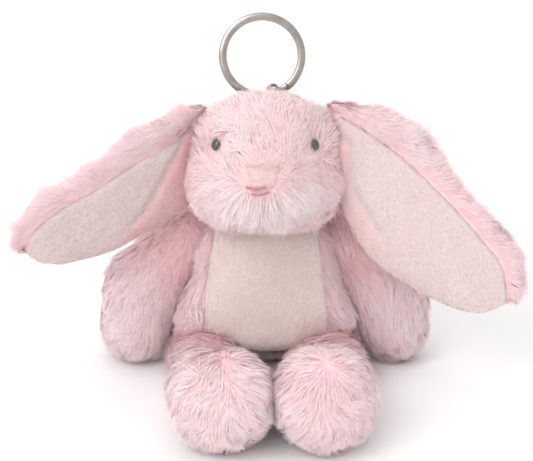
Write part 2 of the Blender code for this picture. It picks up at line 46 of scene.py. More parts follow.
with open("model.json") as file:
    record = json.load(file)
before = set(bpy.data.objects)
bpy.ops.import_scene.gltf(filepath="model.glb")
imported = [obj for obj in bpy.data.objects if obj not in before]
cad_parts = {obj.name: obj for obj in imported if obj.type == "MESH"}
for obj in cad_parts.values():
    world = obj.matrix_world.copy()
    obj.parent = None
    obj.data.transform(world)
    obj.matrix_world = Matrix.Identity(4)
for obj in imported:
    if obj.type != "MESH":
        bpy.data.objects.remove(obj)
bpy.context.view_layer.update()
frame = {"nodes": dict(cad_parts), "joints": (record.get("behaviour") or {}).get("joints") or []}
JOINTS = {joint["name"]: joint for joint in frame["joints"]}

# Skins under the pile
VOXEL = 1.3 * MM
SKIN_INSET = 0.3 * MM
FILLING_INSET = 1.5 * MM
SKIN_SMOOTHING = 10
FLOOR_CLEARANCE = 0.25 * MM

# Strands
STRAND_WIDTH = 0.17 * MM
STRAND_SHARES = (0.35, 0.35, 0.30)
STRAND_EASE = (1.0, 0.62, 0.34)
STRAND_TAPER = (1.0, 0.95, 0.7)
STRAND_TWIST = 0.6
STRAND_REACH = (0.0, 0.0, 0.35, 0.35, 0.7, 0.7, 1.0)
STRAND_GATHER = (0.0, 0.25, 0.6, 1.0)
NORMAL_SPREAD = 0.25
NORMAL_LEAN = 0.2
STRANDS = {
    "head": (39000, 30000),
    "muzzle": 5000,
    "torso": 36000,
    "arm": 36000,
    "leg": 39000,
    "tail": 9000,
    "ear": (39000, 24000),
    "ear_nap": 34000,
    "belly": 30000,
    "nose": 5000,
}
SEEDS = {
    "head": 100,
    "muzzle": 130,
    "torso": 200,
    "arm": 300,
    "leg": 400,
    "tail": 500,
    "ear": 600,
    "belly": 700,
    "nose": 710,
}

# How the combing wanders: a wavelength in millimetres, a seed and a strength
SWIRL_WAVES = 5
SWIRLS = {
    "head": (12, 5, 0.9),
    "torso": (18, 9, 0.5),
    "arm": (15, 13, 0.5),
    "leg": (13, 17, 0.7),
    "ear": (14, 23, 0.45),
    "lining": (18, 29, 0.35),
    "belly": (20, 31, 0.3),
}

# Colours, linear
# Deeper pink at the strands' roots: painted shade of the depths of the pile.
ROOT_SHADE_PINK = (0.97, 0.66, 0.69)
TIP_PINK = (0.96, 0.76, 0.79)
TIP_PALE = (0.96, 0.84, 0.85)
# Painted shade: the deeper pink that strands are mixed toward in creases, under the head, below the ears
# and where limbs join.
CREASE_SHADE_PINK = (0.94, 0.46, 0.48)
# The belly's cream, darkened with painted shade.
SHADED_CREAM = (0.78, 0.65, 0.61)
# The ear lining's cream-pink, darkened with painted shade.
SHADED_LINING = (0.74, 0.60, 0.59)
ROSE = (0.52, 0.16, 0.18)
WHITE = (0.86, 0.86, 0.85)


# Small vector helpers


def unit(rows):
    return rows / np.maximum(np.linalg.norm(rows, axis=-1, keepdims=True), 1e-12)


def dot(a, b):
    return (a * b).sum(axis=-1, keepdims=True)


def smooth_step(low, high, value):
    share = np.clip((value - low) / (high - low), 0.0, 1.0)
    return share * share * (3 - 2 * share)


def bell(points, place, radius):
    """1 at a place, falling off evenly round it."""
    return np.exp(-((np.linalg.norm(points - place, axis=1) / radius) ** 2))


def swell(points, normals, place, radius, rise):
    """Moves a skin outwards round a place."""
    return points + normals * (rise * bell(points, place, radius))[:, None]


def joint_pivot(name):
    return np.array(JOINTS[name]["pos_m"])


def joint_axis(name):
    return np.array(JOINTS[name]["axis"])


def node_points(names):
    """Places of the vertices of CAD nodes, one row each."""
    rows = []
    for name in names:
        vertices = frame["nodes"][name].data.vertices
        flat = np.zeros(len(vertices) * 3)
        vertices.foreach_get("co", flat)
        rows.append(flat.reshape(-1, 3))
    return np.concatenate(rows)


# Meshes


def add_object(name, data):
    made = bpy.data.objects.new(name, data)
    bpy.context.scene.collection.objects.link(made)
    return made


def mesh_object(name, points, faces, smooth=True):
    mesh = bpy.data.meshes.new(name)
    mesh.from_pydata([tuple(point) for point in points], [], faces)
    mesh.update()
    if smooth:
        mesh.shade_smooth()
    return add_object(name, mesh)


def apply_modifiers(piece):
    bpy.context.view_layer.update()
    graph = bpy.context.evaluated_depsgraph_get()
    done = bpy.data.meshes.new_from_object(piece.evaluated_get(graph))
    piece.modifiers.clear()
    piece.data = done
    return piece


def vertex_arrays(piece):
    mesh = piece.data
    points = np.zeros(len(mesh.vertices) * 3)
    mesh.vertices.foreach_get("co", points)
    normals = np.zeros(len(mesh.vertices) * 3)
    mesh.vertices.foreach_get("normal", normals)
    return points.reshape(-1, 3), normals.reshape(-1, 3)


def move_vertices(piece, points):
    piece.data.vertices.foreach_set("co", points.ravel())
    piece.data.update()


def hull_skin(name, nodes, shape=None):
    """A smooth closed skin just inside the hull of some CAD nodes. shape(points, normals) bends it."""
    bm = bmesh.new()
    for point in node_points(nodes):
        bm.verts.new(point)
    bmesh.ops.convex_hull(bm, input=bm.verts)
    loose = [vertex for vertex in bm.verts if not vertex.link_faces]
    bmesh.ops.delete(bm, geom=loose, context="VERTS")
    bmesh.ops.recalc_face_normals(bm, faces=bm.faces)
    mesh = bpy.data.meshes.new(name)
    bm.to_mesh(mesh)
    bm.free()
    skin = add_object(name, mesh)
    remesh = skin.modifiers.new("Remesh", "REMESH")
    remesh.mode = "VOXEL"
    remesh.voxel_size = VOXEL
    relax = skin.modifiers.new("Smooth", "SMOOTH")
    relax.factor = 0.5
    relax.iterations = SKIN_SMOOTHING
    apply_modifiers(skin)
    points, normals = vertex_arrays(skin)
    points = points - normals * SKIN_INSET
    if shape is not None:
        points = shape(points, normals)
    move_vertices(skin, points)
    skin.data.shade_smooth()
    return skin


def closed(piece):
    bm = bmesh.new()
    bm.from_mesh(piece.data)
    bmesh.ops.recalc_face_normals(bm, faces=bm.faces)
    bm.to_mesh(piece.data)
    bm.free()
    return piece


def panel(name, rows, thickness):
    """A closed thin panel from a grid of points. The thickness goes inwards when it is negative."""
    down, across = rows.shape[:2]
    faces = []
    for i in range(down - 1):
        for j in range(across - 1):
            first = i * across + j
            faces.append((first, first + 1, first + across + 1, first + across))
    made = closed(mesh_object(name, rows.reshape(-1, 3), faces))
    middle = rows[down // 2, across // 2]
    normal = made.data.polygons[(down // 2) * (across - 1) + across // 2].normal
    if normal.y > 0:
        made.data.flip_normals()
    thicken = made.modifiers.new("Solidify", "SOLIDIFY")
    thicken.thickness = abs(thickness)
    thicken.offset = -1.0
    return apply_modifiers(made)


def swept(name, sections):
    """A closed tube through rings of points."""
    around = len(sections[0])
    points = [point for ring in sections for point in ring]
    faces = []
    for i in range(len(sections) - 1):
        for j in range(around):
            k = (j + 1) % around
            faces.append((i * around + j, i * around + k, (i + 1) * around + k, (i + 1) * around + j))
    faces.append(tuple(range(around))[::-1])
    faces.append(tuple(range(len(points) - around, len(points))))
    return closed(mesh_object(name, points, faces))


# Random numbers that belong to a place


STEP_CODE = 0x9E3779B97F4A7C15
ALL_BITS = 0xFFFFFFFFFFFFFFFF
CELL_CODES = (73856093, 19349663, 83492791)


def mix_bits(codes):
    codes = (codes ^ (codes >> np.uint64(30))) * np.uint64(0xBF58476D1CE4E5B9)
    codes = (codes ^ (codes >> np.uint64(27))) * np.uint64(0x94D049BB133111EB)
    return codes ^ (codes >> np.uint64(31))


def random_of(codes, which):
    """A number from 0 to 1 for each code. which picks one of its many numbers."""
    mixed = mix_bits(codes + np.uint64(STEP_CODE * (which + 1) & ALL_BITS))
    return (mixed >> np.uint64(11)).astype(np.float64) / 2.0**53


def lock_centres(points, size, seed):
    """The nearest lock's centre for each point, and that lock's code. Each cell of space has one lock."""
    cell = np.floor(points / size).astype(np.int64)
    best = np.full(len(points), np.inf)
    centres = np.zeros_like(points)
    codes = np.zeros(len(points), np.uint64)
    for offset in itertools.product((-1, 0, 1), repeat=3):
        near = cell + np.array(offset)
        parts = near.astype(np.uint64)
        code = np.zeros(len(points), np.uint64)
        for column, factor in enumerate(CELL_CODES):
            code = code ^ (parts[:, column] * np.uint64(factor))
        code = mix_bits(code + np.uint64(seed))
        jitter = np.stack([random_of(code, which) for which in range(3)], axis=1)
        candidate = (near + jitter) * size
        distance = ((candidate - points) ** 2).sum(axis=1)
        closer = distance < best
        best[closer] = distance[closer]
        centres[closer] = candidate[closer]
        codes[closer] = code[closer]
    return centres, codes


def swirl(points, part):
    """A smooth wandering direction at each point."""
    wavelength, seed, strength = SWIRLS[part]
    rng = np.random.default_rng(seed)
    total = np.zeros_like(points)
    for _ in range(SWIRL_WAVES):
        wave = unit(rng.normal(size=3)) * 2 * math.pi / (wavelength * MM * rng.uniform(0.7, 1.5))
        push = unit(rng.normal(size=3))
        total += np.sin(points @ wave + rng.uniform(0, 2 * math.pi))[:, None] * push
    return total / 2 * strength


# Pile


def scatter(skin, count, density, seed):
    """Random roots on a skin, with their outward normals. density(points, normals) thins them out."""
    mesh = skin.data
    mesh.calc_loop_triangles()
    corner = np.zeros(len(mesh.loop_triangles) * 3, np.int32)
    mesh.loop_triangles.foreach_get("vertices", corner)
    corner = corner.reshape(-1, 3)
    points, normals = vertex_arrays(skin)
    a, b, c = points[corner[:, 0]], points[corner[:, 1]], points[corner[:, 2]]
    area = np.linalg.norm(np.cross(b - a, c - a), axis=1) / 2
    middle_normal = unit(normals[corner].mean(axis=1))
    weight = area * np.clip(density((a + b + c) / 3, middle_normal), 0.0, None)
    rng = np.random.default_rng(seed)
    chosen = corner[rng.choice(len(corner), size=count, p=weight / weight.sum())]
    share = rng.dirichlet((1, 1, 1), size=count)[:, :, None]
    roots = (points[chosen] * share).sum(axis=1)
    return roots, unit((normals[chosen] * share).sum(axis=1))


def strand_points(roots, normals, comb, pile, trim, seed):
    """Four points along each strand, and the code of the lock it belongs to."""
    rng = np.random.default_rng(seed)
    count = len(roots)
    centres, codes = lock_centres(roots, pile["lock"], seed)
    wander = np.stack([random_of(codes, which) for which in (3, 4, 5)], axis=1) * 2 - 1
    frizz = rng.normal(size=(count, 3))
    flow = unit(comb) + wander * pile["tumble"] + frizz * pile["frizz"]
    flow = unit(flow - normals * dot(flow, normals))
    ragged = 1 + pile["ragged"] * (random_of(codes, 6) * 2 - 1)
    length = pile["length"] * ragged * trim * rng.uniform(0.75, 1.1, count)
    rise = np.radians(pile["rise"]) * (0.75 + 0.5 * random_of(codes, 7)) * rng.uniform(0.8, 1.2, count)
    place = roots
    rows = [place]
    for share, ease in zip(STRAND_SHARES, STRAND_EASE):
        lift = (rise * ease)[:, None]
        heading = flow * np.cos(lift) + normals * np.sin(lift)
        place = place + heading * (length * share)[:, None]
        rows.append(place)
    points = np.stack(rows, axis=1)
    inward = centres - roots
    inward = inward - normals * dot(inward, normals)
    gather = np.array(STRAND_GATHER)[None, :, None] * pile["pull"]
    points = points + inward[:, None, :] * gather
    lowest = FLOOR_CLEARANCE * (1 + rng.uniform(0, 3, count))[:, None]
    points[:, :, 2] = np.maximum(points[:, :, 2], lowest)
    return points, codes


def strand_mesh(name, points, normals, width, tint, seed):
    """Flat tapering strands, each with two quads and a tip, that face outwards from the skin."""
    rng = np.random.default_rng(seed)
    count = len(points)
    along = unit(points[:, 3] - points[:, 0])
    flat = unit(np.cross(along, normals))
    outward = np.cross(flat, along)
    twist = rng.uniform(-STRAND_TWIST, STRAND_TWIST, count)[:, None]
    side = flat * np.cos(twist) + outward * np.sin(twist)
    half = (width * rng.uniform(0.75, 1.25, count) / 2)[:, None]
    rows = []
    for step, taper in enumerate(STRAND_TAPER):
        rows.append(points[:, step] - side * half * taper)
        rows.append(points[:, step] + side * half * taper)
    rows.append(points[:, 3])
    vertices = np.stack(rows, axis=1).reshape(-1, 3)
    first = np.arange(count, dtype=np.int32)[:, None] * 7
    pattern = np.array((0, 1, 3, 2, 2, 3, 5, 4, 4, 5, 6), np.int32)
    loops = (first + pattern).ravel()
    starts = (np.arange(count, dtype=np.int32)[:, None] * 11 + np.array((0, 4, 8), np.int32)).ravel()
    mesh = bpy.data.meshes.new(name)
    mesh.vertices.add(len(vertices))
    mesh.vertices.foreach_set("co", vertices.astype(np.float32).ravel())
    mesh.loops.add(len(loops))
    mesh.loops.foreach_set("vertex_index", loops)
    mesh.polygons.add(len(starts))
    mesh.polygons.foreach_set("loop_start", starts)
    mesh.update(calc_edges=True)
    mesh.shade_smooth()
    colours = mesh.color_attributes.new("tint", "FLOAT_COLOR", "POINT")
    reach = np.array(STRAND_REACH)
    shade = np.ones((count, 7, 4), np.float32)
    shade[:, :, 0] = reach
    shade[:, :, 1] = tint[:, 0:1]
    shade[:, :, 2] = tint[:, 1:2]
    colours.data.foreach_set("color", shade.ravel())
    facing = unit(normals + np.cross(side, along) * NORMAL_SPREAD)
    lean = facing[:, None, :] + along[:, None, :] * NORMAL_LEAN * reach[None, :, None]
    mesh.normals_split_custom_set_from_vertices(unit(lean).reshape(-1, 3).tolist())
    return add_object(name, mesh)


def untrimmed(points, normals):
    return np.ones(len(points))


def dress(piece, body, material, nodes=()):
    """Gives a piece its material and body, and hides the nodes it stands for."""
    piece.data.materials.clear()
    piece.data.materials.append(material)
    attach(piece, body)
    for node in nodes:
        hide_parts(node)


def grow(
    name, skin, body, material, comb, pile, count, density, painted_shade, seed, trim=untrimmed
):
    """Plants a pile on a skin. comb, density, trim and the function of painted shade are functions of
    points and normals. The painted shade mixes strands toward a deeper pink in creases.
    """
    width = STRAND_WIDTH * 1.0
    roots, normals = scatter(skin, count, density, seed)
    lengths = trim(roots, normals)
    points, codes = strand_points(roots, normals, comb(roots, normals), pile, lengths, seed)
    # Each strand's tint: its lock's random number, then its painted shade in creases.
    tint = np.stack([random_of(codes, 8), np.clip(painted_shade(roots, normals), 0, 1)], axis=1)
    fur = strand_mesh(name, points, normals, width, tint, seed + 1)
    dress(fur, body, material)


# Materials


def new_material(name):
    made = bpy.data.materials.new(name)
    made.use_nodes = True
    tree = made.node_tree
    shader = tree.nodes["Principled BSDF"]
    return made, tree, shader


def colour_mix(tree, factor, low, high):
    """A node that mixes two colours, or colour sockets, by a factor socket."""
    mix = tree.nodes.new("ShaderNodeMix")
    mix.data_type = "RGBA"
    tree.links.new(factor, mix.inputs["Factor"])
    for value, socket in ((low, mix.inputs["A"]), (high, mix.inputs["B"])):
        if isinstance(value, tuple):
            socket.default_value = (*value, 1.0)
        else:
            tree.links.new(value, socket)
    return mix.outputs["Result"]


def noise(tree, scale, detail=2.0, stretch=None):
    texture = tree.nodes.new("ShaderNodeTexNoise")
    texture.inputs["Scale"].default_value = scale
    texture.inputs["Detail"].default_value = detail
    place = tree.nodes.new("ShaderNodeTexCoord").outputs["Object"]
    if stretch is not None:
        mapping = tree.nodes.new("ShaderNodeMapping")
        mapping.inputs["Scale"].default_value = stretch
        tree.links.new(place, mapping.inputs["Vector"])
        place = mapping.outputs["Vector"]
    tree.links.new(place, texture.inputs["Vector"])
    return texture.outputs["Fac"]


def ramp(tree, factor, low, high):
    """Spreads the part of a factor between low and high over the whole range."""
    spread = tree.nodes.new("ShaderNodeMapRange")
    spread.inputs["From Min"].default_value = low
    spread.inputs["From Max"].default_value = high
    tree.links.new(factor, spread.inputs["Value"])
    return spread.outputs["Result"]


def add_bump(tree, shader, height, distance, strength):
    bump = tree.nodes.new("ShaderNodeBump")
    bump.inputs["Distance"].default_value = distance
    bump.inputs["Strength"].default_value = strength
    tree.links.new(height, bump.inputs["Height"])
    tree.links.new(bump.outputs["Normal"], shader.inputs["Normal"])


def fur_material(name, root, tip, pale):
    """Strand colour: deeper at the root as painted shade of the pile's depths, pale at the tip, a little
    different in every lock.
    """
    made, tree, shader = new_material(name)
    attribute = tree.nodes.new("ShaderNodeAttribute")
    attribute.attribute_name = "tint"
    parts = tree.nodes.new("ShaderNodeSeparateColor")
    tree.links.new(attribute.outputs["Color"], parts.inputs["Color"])
    patch = ramp(tree, noise(tree, 70.0), 0.35, 0.65)
    end = colour_mix(tree, parts.outputs["Green"], tip, pale)
    end = colour_mix(tree, patch, end, tip)
    body = colour_mix(tree, ramp(tree, parts.outputs["Red"], 0.0, 0.55), root, end)
    # Painted shade: the tint's third channel mixes toward a deeper pink in creases.
    colour = colour_mix(tree, parts.outputs["Blue"], body, CREASE_SHADE_PINK)
    tree.links.new(colour, shader.inputs["Base Color"])
    shader.inputs["Roughness"].default_value = 0.8
    shader.inputs["Specular IOR Level"].default_value = 0.2
    shader.inputs["Sheen Weight"].default_value = 0.4
    shader.inputs["Sheen Roughness"].default_value = 0.5
    return made


def cloth_material(name, low, high, scale, bump_scale, bump, sheen=0.3):
    """Mottled short-pile or woven cloth."""
    made, tree, shader = new_material(name)
    patch = ramp(tree, noise(tree, scale, 4.0), 0.3, 0.7)
    tree.links.new(colour_mix(tree, patch, low, high), shader.inputs["Base Color"])
    shader.inputs["Roughness"].default_value = 0.9
    shader.inputs["Specular IOR Level"].default_value = 0.15
    shader.inputs["Sheen Weight"].default_value = sheen
    add_bump(tree, shader, noise(tree, bump_scale, 3.0), bump, 0.5)
    return made


def weave_material(name, low, high, pitch, bump):
    """Fine plain weave, for ribbon, tape and the pellet bag."""
    made, tree, shader = new_material(name)
    height = None
    for direction in ("X", "Z"):
        wave = tree.nodes.new("ShaderNodeTexWave")
        wave.bands_direction = direction
        wave.inputs["Scale"].default_value = 1.0 / pitch
        tree.links.new(tree.nodes.new("ShaderNodeTexCoord").outputs["Object"], wave.inputs["Vector"])
        if height is None:
            height = wave.outputs["Fac"]
            continue
        over = tree.nodes.new("ShaderNodeMath")
        over.operation = "MULTIPLY"
        tree.links.new(height, over.inputs[0])
        tree.links.new(wave.outputs["Fac"], over.inputs[1])
        height = over.outputs["Value"]
    tree.links.new(colour_mix(tree, height, low, high), shader.inputs["Base Color"])
    shader.inputs["Roughness"].default_value = 0.7
    add_bump(tree, shader, height, bump, 0.4)
    return made


def metal_material(name, low, high):
    """Nickel plate with faint polishing marks."""
    made, tree, shader = new_material(name)
    patch = ramp(tree, noise(tree, 260.0, 3.0), 0.3, 0.7)
    tree.links.new(colour_mix(tree, patch, low, high), shader.inputs["Base Color"])
    shader.inputs["Metallic"].default_value = 1.0
    shader.inputs["Roughness"].default_value = 0.2
    add_bump(tree, shader, noise(tree, 900.0, 2.0), 0.01 * MM, 0.2)
    return made


def bead_material(name):
    """Dark polished bead, with a little smoke in it."""
    made, tree, shader = new_material(name)
    patch = ramp(tree, noise(tree, 500.0, 2.0), 0.3, 0.7)
    dark = (0.035, 0.038, 0.040)
    smoke = (0.075, 0.080, 0.082)
    tree.links.new(colour_mix(tree, patch, dark, smoke), shader.inputs["Base Color"])
    shader.inputs["Roughness"].default_value = 0.08
    shader.inputs["Coat Weight"].default_value = 1.0
    shader.inputs["Coat Roughness"].default_value = 0.05
    return made


# Strand colours: root, tip and pale tip. The deeper root colour is painted shade of the pile's depths.
FUR_TINTS = {
    "head_fur": ((0.95, 0.63, 0.65), (0.95, 0.75, 0.77), (0.95, 0.83, 0.83)),
    "muzzle_fur": ((0.95, 0.72, 0.74), (0.96, 0.82, 0.84), (0.96, 0.87, 0.88)),
    "cream_nap": (SHADED_CREAM, (0.93, 0.81, 0.77), (0.94, 0.84, 0.80)),
    "lining_nap": (SHADED_LINING, (0.88, 0.73, 0.72), (0.90, 0.78, 0.76)),
    "nose_nap": ((0.78, 0.52, 0.51), (0.87, 0.64, 0.63), (0.88, 0.70, 0.68)),
}
CLOTH_TINTS = {
    "undercoat": ((0.97, 0.74, 0.76), (0.96, 0.68, 0.71)),
    "ear_backing": ((0.92, 0.64, 0.66), (0.93, 0.70, 0.71)),
    "short_pile": (SHADED_CREAM, (0.84, 0.74, 0.69)),
    "ear_pile": (SHADED_LINING, (0.80, 0.67, 0.65)),
    "nose_pile": ((0.72, 0.52, 0.50), (0.76, 0.58, 0.55)),
    "filling": ((0.80, 0.80, 0.79), WHITE),
    "washer": ((0.03, 0.03, 0.03), (0.06, 0.06, 0.06)),
}
WEAVE_TINTS = {
    "thread": (ROSE, (0.62, 0.22, 0.25)),
    "ribbon": ((0.85, 0.45, 0.50), (0.92, 0.60, 0.65)),
    "pouch": ((0.72, 0.72, 0.70), WHITE),
    "label_tape": ((0.78, 0.78, 0.77), WHITE),
}


def fur(name):
    return fur_material(name, *FUR_TINTS[name])


def cloth(name, scale, bump_scale, bump, sheen=0.3):
    return cloth_material(name, *CLOTH_TINTS[name], scale, bump_scale, bump, sheen)


def weave(name, pitch, bump):
    return weave_material(name, *WEAVE_TINTS[name], pitch, bump)


BODY_FUR = fur_material("body_fur", ROOT_SHADE_PINK, TIP_PINK, TIP_PALE)
HEAD_FUR = fur("head_fur")
MUZZLE_FUR = fur("muzzle_fur")
CREAM_NAP = fur("cream_nap")
LINING_NAP = fur("lining_nap")
NOSE_NAP = fur("nose_nap")
UNDERCOAT = cloth("undercoat", scale=300.0, bump_scale=2500.0, bump=0.3 * MM)
EAR_BACKING = cloth("ear_backing", scale=300.0, bump_scale=2500.0, bump=0.3 * MM)
SHORT_PILE = cloth("short_pile", scale=240.0, bump_scale=1800.0, bump=0.25 * MM)
EAR_PILE = cloth("ear_pile", scale=200.0, bump_scale=1800.0, bump=0.25 * MM)
NOSE_PILE = cloth("nose_pile", scale=400.0, bump_scale=2200.0, bump=0.2 * MM)
FILLING = cloth("filling", scale=500.0, bump_scale=1500.0, bump=0.5 * MM)
WASHER = cloth("washer", scale=400.0, bump_scale=900.0, bump=0.02 * MM, sheen=0.0)
THREAD = weave("thread", pitch=0.35 * MM, bump=0.05 * MM)
RIBBON = weave("ribbon", pitch=0.3 * MM, bump=0.05 * MM)
POUCH = weave("pouch", pitch=0.6 * MM, bump=0.1 * MM)
TAPE = weave("label_tape", pitch=0.3 * MM, bump=0.03 * MM)
NICKEL = metal_material("nickel", (0.36, 0.33, 0.31), (0.46, 0.42, 0.39))
BEAD = bead_material("bead")


# Soft bodies

PILE = {
    "length": 6.2 * MM,
    "lock": 3.2 * MM,
    "tumble": 0.32,
    "frizz": 0.14,
    "ragged": 0.25,
    "rise": 21.0,
    "pull": 0.3,
}
HEAD_PILE = dict(PILE, lock=2.6 * MM, tumble=0.45, rise=27.0)
EAR_PILE_LONG = dict(PILE, length=6.0 * MM, rise=19.0, tumble=0.24)
NAP = dict(PILE, length=1.4 * MM, lock=1.6 * MM, rise=17.0, tumble=0.25, frizz=0.18, pull=0.1)
LEG_PILE = dict(PILE, rise=17.0, tumble=0.28)
TAIL_PILE = dict(PILE, rise=50.0)
MUZZLE_PILE = dict(PILE, length=10.5 * MM, lock=2.4 * MM, rise=17.0, pull=0.75, tumble=0.3)


def everywhere(points, normals):
    return np.ones(len(points))


def untinted(points, normals):
    return np.zeros(len(points))


def near(place, radius):
    """1 at a place, falling to 0 at a radius from it."""

    def share(points, normals):
        distance = np.linalg.norm(points - place, axis=1)
        return 1 - smooth_step(0.35 * radius, radius, distance)

    return share


def fill_skin(skin, body, node):
    """The stuffing of a reshaped part: its skin, moved inwards."""
    points, normals = vertex_arrays(skin)
    filling = add_object(f"{body}_filling", skin.data.copy())
    move_vertices(filling, points - normals * FILLING_INSET)
    dress(filling, body, FILLING, nodes=(node,))


# Head

HEAD_NODES = ("head_side_left", "head_side_right", "head_gusset")
NECK = joint_pivot("head_nod")
EYE_YAW = math.radians(56)
EYE_PITCH = math.radians(20)
EYE_RADIUS = 1.95 * MM
EYE_NARROWNESS = 0.85
EYE_FLATNESS = 0.5
EYE_SUNK = 0.7 * MM
SOCKET_RADIUS = 5.0 * MM
SOCKET_DEPTH = 1.2 * MM
MUZZLE_RADIUS = 11.0 * MM
MUZZLE_RISE = 0.8 * MM
NECK_MIDDLE = np.array((0, 4, 8)) * MM
NECK_RADIUS = 15.0 * MM
NECK_DROP = 3.5 * MM

# Places beside an ear's joint: outwards, back and up in millimetres
EAR_BULGE = (-5, 4, 0)
EAR_SHADE = (0, -4, -12)
EAR_BULGE_RADIUS = 9.0 * MM
EAR_BULGE_RISE = 4.5 * MM
EAR_SHADE_RADIUS = 17 * MM


def eye_frame(name):
    """The crown of the CAD bead, and its outward axis."""
    side = SIDES[name]
    level = math.cos(EYE_PITCH)
    outward = (side * math.sin(EYE_YAW) * level, -math.cos(EYE_YAW) * level, math.sin(EYE_PITCH))
    outward = np.array(outward)
    points = node_points((f"eye_{name}",))
    reach = points @ outward
    crown = points[reach > reach.max() - 0.9 * MM]
    return crown.mean(axis=0), outward


EYES = {name: eye_frame(name) for name in SIDES}
MOUTH_LOW, MOUTH_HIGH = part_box("mouth_stitch")
MOUTH = np.array((MOUTH_LOW + MOUTH_HIGH) / 2)
NOSE = MOUTH + np.array((-0.2, 0.6, 5.0)) * MM


def beside_ear(name, offset):
    outwards, back, up = offset
    return joint_pivot(f"ear_{name}_lift") + np.array((outwards * SIDES[name], back, up)) * MM


def shape_head(points, normals):
    """Sockets for the eyes, full ear roots, a lower neck and a slight muzzle."""
    for name, (place, outward) in EYES.items():
        points = swell(points, normals, place, SOCKET_RADIUS, -SOCKET_DEPTH)
        points = swell(points, normals, beside_ear(name, EAR_BULGE), EAR_BULGE_RADIUS, EAR_BULGE_RISE)
    points = points - UP * (NECK_DROP * bell(points, NECK + NECK_MIDDLE, NECK_RADIUS))[:, None]
    return swell(points, normals, NOSE, MUZZLE_RADIUS, MUZZLE_RISE)


def comb_head(points, normals):
    """The pile runs away from the nose, down the cheeks and back over the crown."""
    away = unit(points - NOSE)
    height = smooth_step(NOSE[2] - 14 * MM, NOSE[2] + 8 * MM, points[:, 2])[:, None]
    down = np.array((0.0, -0.1, -1.0))
    back = np.array((0.0, 0.5, 0.35))
    flow = away * (1 - 0.6 * height) + down * (1 - height) * 0.8 + back * height * 0.9
    return flow + swirl(points, "head")


def head_density(points, normals):
    share = np.ones(len(points))
    for place, outward in EYES.values():
        share = np.where(np.linalg.norm(points - place, axis=1) < 2.2 * MM, 0.0, share)
    return np.where(points[:, 1] > 6 * MM, share * 0.45, share)


def head_trim(points, normals):
    """The pile is clipped short where it would cover the eyes, and round the nose."""
    length = np.ones(len(points))
    for place, outward in EYES.values():
        upstream = place + unit(NOSE - place) * 3.5 * MM
        distance = np.linalg.norm(points - upstream, axis=1)
        length = np.minimum(length, 0.3 + 0.7 * smooth_step(3.0 * MM, 8.0 * MM, distance))
    from_nose = np.linalg.norm((points - NOSE) * np.array((0.95, 1.0, 1.05)), axis=1)
    return np.minimum(length, 0.22 + 0.78 * smooth_step(4.0 * MM, 11.0 * MM, from_nose))


# Painted shade under the head and below the ears, and a deeper pink round the nose.
def head_shade_and_nose_pink(points, normals):
    under = 1 - smooth_step(NECK[2] + 6 * MM, NECK[2] + 18 * MM, points[:, 2])
    ears = np.zeros(len(points))
    for name in SIDES:
        shaded = near(beside_ear(name, EAR_SHADE), EAR_SHADE_RADIUS)(points, normals)
        ears = np.maximum(ears, shaded)
    beak = 0.18 * near(NOSE, 12 * MM)(points, normals)
    return 0.3 * under + 0.22 * ears + beak


head_skin = hull_skin("head_skin", HEAD_NODES, shape_head)
dress(head_skin, "head", UNDERCOAT, nodes=HEAD_NODES)
for part, count in enumerate(STRANDS["head"]):
    grow(
        f"head_fur_{part + 1}", head_skin, "head", HEAD_FUR, comb_head, HEAD_PILE,
        count, head_density, head_shade_and_nose_pink, SEEDS["head"] + part, head_trim,
    )


def muzzle_density(points, normals):
    """Long tufts start round the nose, mostly below it."""
    from_nose = np.linalg.norm((points - NOSE) * np.array((0.85, 1.0, 1.0)), axis=1)
    ring = np.exp(-(((from_nose - 10.5 * MM) / (3.0 * MM)) ** 2))
    below = 1 - smooth_step(NOSE[2] - 8 * MM, NOSE[2] - 1 * MM, points[:, 2])
    return ring * below * (points[:, 1] < NOSE[1] + 14 * MM)


def comb_muzzle(points, normals):
    return unit(points - NOSE - np.array((0, 0, 3)) * MM) + np.array((0.0, 0.0, -0.3))


grow(
    "muzzle_tufts", head_skin, "head", MUZZLE_FUR, comb_muzzle, MUZZLE_PILE,
    STRANDS["muzzle"], muzzle_density, untinted, SEEDS["muzzle"],
)


# Torso, arms, legs and tail

TORSO_NODES = ("torso_side_left", "torso_side_right", "seat_panel")
TAIL_LOW, TAIL_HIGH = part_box("tail_cover")
TAIL = np.array((TAIL_LOW + TAIL_HIGH) / 2)


def comb_torso(points, normals):
    down = np.array((0.0, 0.0, -1.0))
    out = points * np.array((1.0, 1.0, 0.0))
    return down + unit(out) * 0.35 + swirl(points, "torso")


# Where the torso is fuller, on its right side: x, y and z, then radius and rise, in millimetres
TORSO_BULGES = ((24, 2, 47, 11, 8), (30, -10, 22, 15, 6))
COLLAR_RADIUS = 17 * MM
COLLAR_RISE = 8 * MM


def shape_torso(points, normals):
    """Full shoulders under the head, full sides in front of the arms, and a raised neck."""
    for side in SIDES.values():
        for x, y, z, radius, rise in TORSO_BULGES:
            place = np.array((side * x, y, z)) * MM
            points = swell(points, normals, place, radius * MM, rise * MM)
    neck = bell(points[:, :2], NECK[:2], COLLAR_RADIUS)
    neck = neck * smooth_step(NECK[2] - 14 * MM, NECK[2] - 2 * MM, points[:, 2])
    return points + UP * (COLLAR_RISE * neck)[:, None]


torso_skin = hull_skin("torso_skin", TORSO_NODES + ("belly_panel",), shape_torso)
dress(torso_skin, "torso", UNDERCOAT, nodes=TORSO_NODES)


# Strength of the painted shade round the limb and neck joints.
LIMB_SHADE = 0.42


def limb_painted_shade(root, radius):
    """Painted shade: deeper pink round a joint, where a limb or the head meets the torso."""
    close = near(root, radius)

    def share(points, normals):
        return LIMB_SHADE * close(points, normals)

    return share


BELLY_LOW, BELLY_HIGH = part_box("belly_panel")


